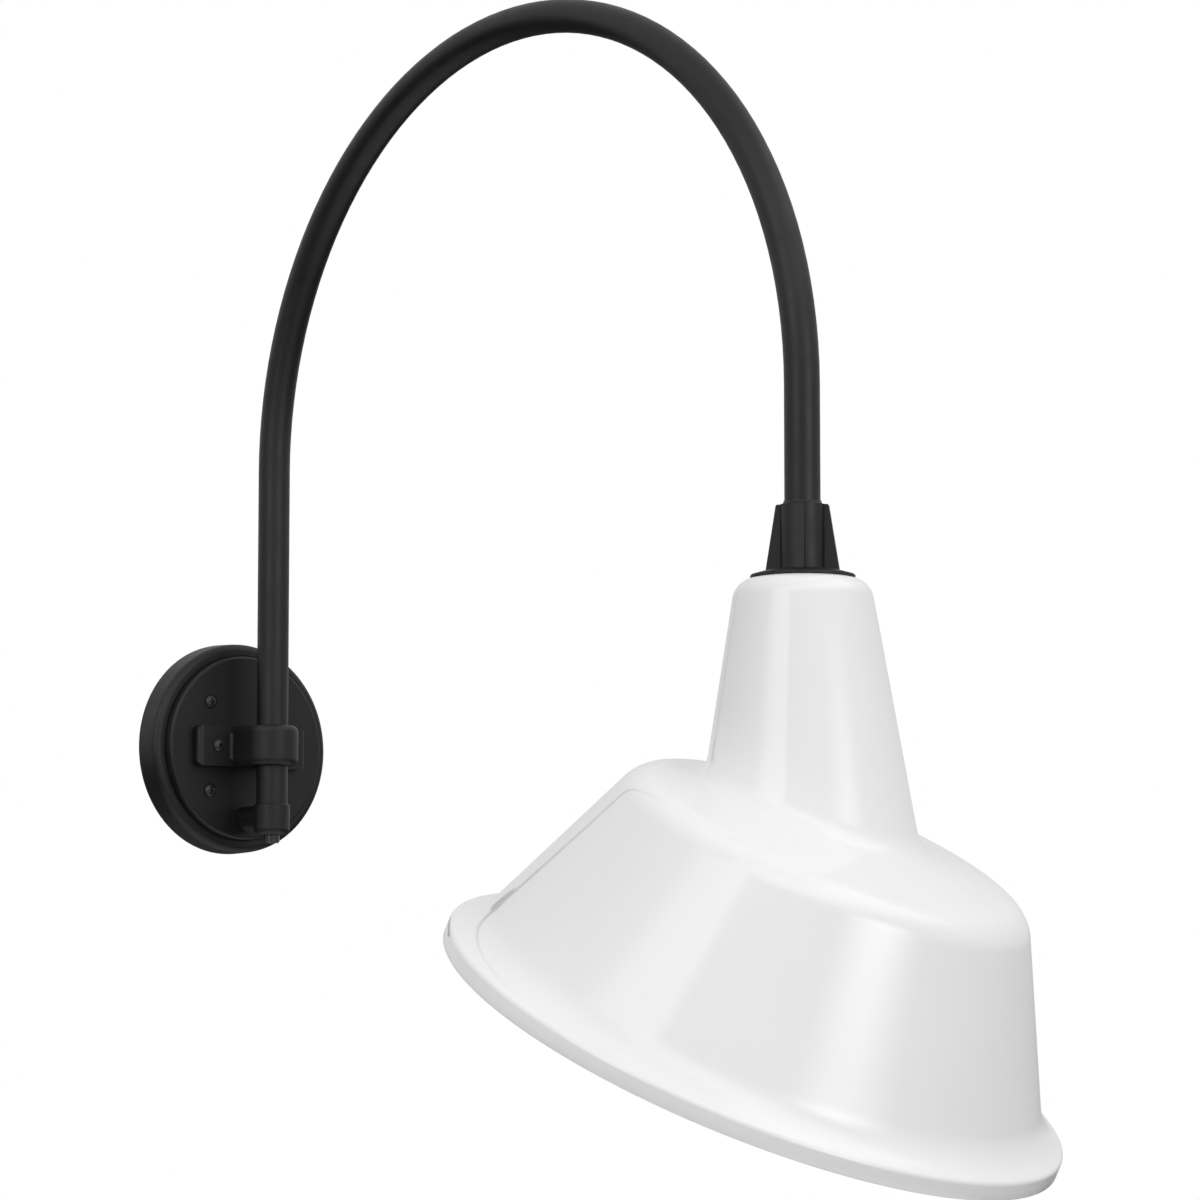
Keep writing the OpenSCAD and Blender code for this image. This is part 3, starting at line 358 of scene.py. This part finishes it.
def about_bell(p):
    """Radius, height and angle of a point about the bell's axis."""
    d = p - RIM_CENTRE
    side, up = d @ BELL_SIDE, d @ BELL_UP
    return math.hypot(side, up), d @ BELL_AXIS, math.degrees(math.atan2(up, side))


def head_point(angle, radius, height):
    """A point about the head's upright axis."""
    return np.array([radius * cos(angle), radius * sin(angle), height])


def neck_point(angle, depth):
    """A point of the neck's wall, which widens and leans as it goes down from the neck's top."""
    r = NECK_TOP_R + tan(NECK_TAPER) * depth
    return np.array([r * cos(angle), r * sin(angle) - tan(NECK_LEAN) * depth, NECK_TOP - depth])


def foot_depth(angle):
    """Depth at which the neck's wall meets the bell's top, found by closing in on it."""
    depth = FOOT_GUESS
    for _ in range(FOOT_ROUNDS):
        radius, height = about_bell(neck_point(angle, depth))[:2]
        depth += FOOT_SHARE * (height - bell_top(radius))
    return depth


def outer_column(angle):
    """One line of points of the outer skin, from the rim to the hole in the neck's top."""
    depth = foot_depth(angle)
    radius, _, foot_angle = about_bell(neck_point(angle, depth))
    foot_angle += 360 * round((angle - foot_angle) / 360)
    fillet_r = radius + NECK_FILLET

    def top_point(t):
        """A point of the bell's top, at a share t of the way from the shoulder to the fillet."""
        r = SHOULDER_END[0] * (1 - t) + fillet_r * t
        return bell_point(angle * (1 - t) + foot_angle * t, (r, bell_top(r)))

    bell = [bell_point(angle, p) for p in PROFILE]
    top = [top_point(i / TOP_STEPS) for i in range(1, TOP_STEPS)]
    start = depth - NECK_FILLET
    fillet = curve(top_point(1), neck_point(angle, depth), neck_point(angle, start), FILLET_STEPS)
    run = NECK_ROUND * tan((90 - NECK_TAPER) / 2)
    neck = [neck_point(angle, start + (run - start) * i / NECK_STEPS) for i in range(1, NECK_STEPS)]
    edge_centre = (NECK_TOP_R - run, NECK_TOP - NECK_ROUND)
    edge = [
        head_point(angle, r, height)
        for r, height in arc(edge_centre, NECK_ROUND, NECK_TAPER, 90, EDGE_STEPS)
    ]
    hole = [head_point(angle, r, NECK_TOP) for r in (HOLE_RING_R, HOLE_R)]
    return bell + top + fillet + neck + edge + hole


def into_frame(points):
    """Turns points of the head, in millimetres, into the shared frame's metres."""
    x, y, z = points[..., 0], points[..., 1], points[..., 2]
    turned_x = x * cos(HEAD_TURN) - y * sin(HEAD_TURN)
    turned_y = x * sin(HEAD_TURN) + y * cos(HEAD_TURN) - REACH
    return np.stack((turned_x, turned_y, z), -1) * MM


def loft(name, columns):
    """A mesh of quads over columns of points that go round, each of which joins its own ends."""
    count, rows = len(columns), len(columns[0])
    faces = [
        (
            j * rows + i,
            (j + 1) % count * rows + i,
            (j + 1) % count * rows + (i + 1) % rows,
            j * rows + (i + 1) % rows,
        )
        for j in range(count)
        for i in range(rows)
    ]
    mesh = bpy.data.meshes.new(name)
    mesh.from_pydata(np.asarray(columns).reshape(-1, 3).tolist(), [], faces)
    mesh.polygons.foreach_set("use_smooth", [True] * len(faces))
    mesh.update()
    piece = bpy.data.objects.new(name, mesh)
    bpy.context.scene.collection.objects.link(piece)
    return piece


def make_shade():
    """The sheet's outer and inner skin, with a rounded edge at the rim."""
    skin = np.array([outer_column(360 * j / COLUMNS) for j in range(COLUMNS)])
    up = np.roll(skin, -1, 1) - np.roll(skin, 1, 1)
    up[:, 0] = skin[:, 1] - skin[:, 0]
    up[:, -1] = skin[:, -1] - skin[:, -2]
    along = np.roll(skin, -1, 0) - np.roll(skin, 1, 0)
    normal = np.cross(along, up)
    normal /= np.linalg.norm(normal, axis=2, keepdims=True)
    inner = skin - SHEET * normal
    middle = skin[:, :1] - SHEET / 2 * normal[:, :1]
    lip = [
        middle + SHEET / 2 * (cos(a) * -normal[:, :1] - sin(a) * BELL_AXIS)
        for a in (180 * i / LIP_STEPS for i in range(1, LIP_STEPS))
    ]
    columns = np.concatenate([skin, inner[:, ::-1], *lip], 1)
    return loft("shade_sheet", into_frame(columns))


shade = make_shade()
shade.data.materials.append(materials["white_coat"])
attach(shade, "head")
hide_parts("shade")


# Stage: floor, light and camera

def make_floor():
    """A pale disc under the light."""
    bpy.ops.mesh.primitive_circle_add(
        vertices=FLOOR_SIDES, radius=FLOOR_R, fill_type="NGON", location=FLOOR_AT)
    floor = bpy.context.object
    floor.name = "floor"
    material, tree, shader, place = new_material("pale_floor")
    tone = spread(tree, noise(tree, place, scale=3.0))
    colour = between(tree, tone, (0.8, 0.8, 0.8), (0.83, 0.83, 0.83))
    tree.links.new(colour, shader.inputs["Base Color"])
    shader.inputs["Roughness"].default_value = 0.6
    floor.data.materials.append(material)


def make_world(upper, lower, backdrop):
    """Even pale light, weaker from below, which the camera sees no darker than backdrop."""
    world = bpy.data.worlds.new("pale_world")
    bpy.context.scene.world = world
    world.use_nodes = True
    tree = world.node_tree
    direction = tree.nodes.new("ShaderNodeSeparateXYZ")
    generated = tree.nodes.new("ShaderNodeTexCoord").outputs["Generated"]
    tree.links.new(generated, direction.inputs["Vector"])
    light = spread(tree, direction.outputs["Z"], lower, upper, *HORIZON)
    camera_ray = tree.nodes.new("ShaderNodeLightPath").outputs["Is Camera Ray"]
    seen = spread(tree, camera_ray, high=backdrop, start=0.0, end=1.0)
    strongest = tree.nodes.new("ShaderNodeMath")
    strongest.operation = "MAXIMUM"
    tree.links.new(light, strongest.inputs[0])
    tree.links.new(seen, strongest.inputs[1])
    tree.links.new(strongest.outputs["Value"], tree.nodes["Background"].inputs["Strength"])
    tree.nodes["Background"].inputs["Color"].default_value = (1.0, 1.0, 1.0, 1.0)


def fade(tree, value, start, end):
    """0 at start, 1 at end and a soft step between them."""
    node = tree.nodes.new("ShaderNodeMapRange")
    node.interpolation_type = "SMOOTHSTEP"
    node.inputs["From Min"].default_value = start
    node.inputs["From Max"].default_value = end
    tree.links.new(value, node.inputs["Value"])
    return node.outputs["Result"]


def times(tree, first, second):
    """The product of two values."""
    node = tree.nodes.new("ShaderNodeMath")
    node.operation = "MULTIPLY"
    tree.links.new(first, node.inputs[0])
    tree.links.new(second, node.inputs[1])
    return node.outputs["Value"]


def soft_light(name, azimuth, elevation, distance, size, radiance, left, right, ends):
    """A softbox that faces LIGHT_TARGET and fades out over the given shares of its width and height.

    Its azimuth counts from the camera to the right."""
    turn = CAMERA_AZIMUTH - azimuth
    towards = np.array([-sin(turn) * cos(elevation), -cos(turn) * cos(elevation), sin(elevation)])
    data = bpy.data.lights.new(name, "AREA")
    data.shape = "RECTANGLE"
    data.size, data.size_y = size
    data.energy = radiance * math.pi * size[0] * size[1]
    data.use_nodes = True
    tree = data.node_tree
    place = tree.nodes.new("ShaderNodeSeparateXYZ")
    parametric = tree.nodes.new("ShaderNodeNewGeometry").outputs["Parametric"]
    tree.links.new(parametric, place.inputs["Vector"])
    x, y = place.outputs["X"], place.outputs["Y"]
    across = times(tree, fade(tree, x, 0.0, left), fade(tree, x, 1.0, 1 - right))
    along = times(tree, fade(tree, y, 0.0, ends), fade(tree, y, 1.0, 1 - ends))
    tree.links.new(times(tree, across, along), tree.nodes["Emission"].inputs["Strength"])
    box = bpy.data.objects.new(name, data)
    bpy.context.scene.collection.objects.link(box)
    box.location = LIGHT_TARGET + towards * distance
    box.rotation_euler = (math.radians(90 - elevation), 0, math.radians(-turn))
    box.visible_camera = False


def make_lights():
    """Two softboxes to the left and right of the camera, two from above and one from below."""
    soft_light("left_softbox", azimuth=-42, elevation=20, distance=2.6, size=(1.9, 3.1),
               radiance=1.5, left=0.5, right=0.15, ends=0.3)
    soft_light("right_softbox", azimuth=42, elevation=9, distance=2.6, size=(2.1, 1.7),
               radiance=4.0, left=0.5, right=0.5, ends=0.5)
    soft_light("high_front", azimuth=10, elevation=45, distance=2.8, size=(4.0, 1.8),
               radiance=0.9, left=0.3, right=0.3, ends=0.3)
    soft_light("high_right", azimuth=80, elevation=50, distance=2.6, size=(3.0, 1.8),
               radiance=0.9, left=0.3, right=0.3, ends=0.3)
    soft_light("low_front", azimuth=18, elevation=-13, distance=2.6, size=(4.2, 1.4),
               radiance=0.8, left=0.4, right=0.3, ends=0.4)


def make_camera():
    """The photo's camera."""
    data = bpy.data.cameras.new("camera")
    data.lens = CAMERA_LENS
    data.sensor_width = SENSOR
    camera = bpy.data.objects.new("camera", data)
    camera.location = CAMERA_AT
    camera.rotation_euler = (math.radians(90 + CAMERA_ELEVATION), 0, math.radians(-CAMERA_AZIMUTH))
    bpy.context.scene.collection.objects.link(camera)
    bpy.context.scene.camera = camera


make_floor()
make_world(upper=0.725, lower=0.05, backdrop=1.0)
make_lights()
make_camera()
bpy.context.scene.view_settings.view_transform = "Standard"
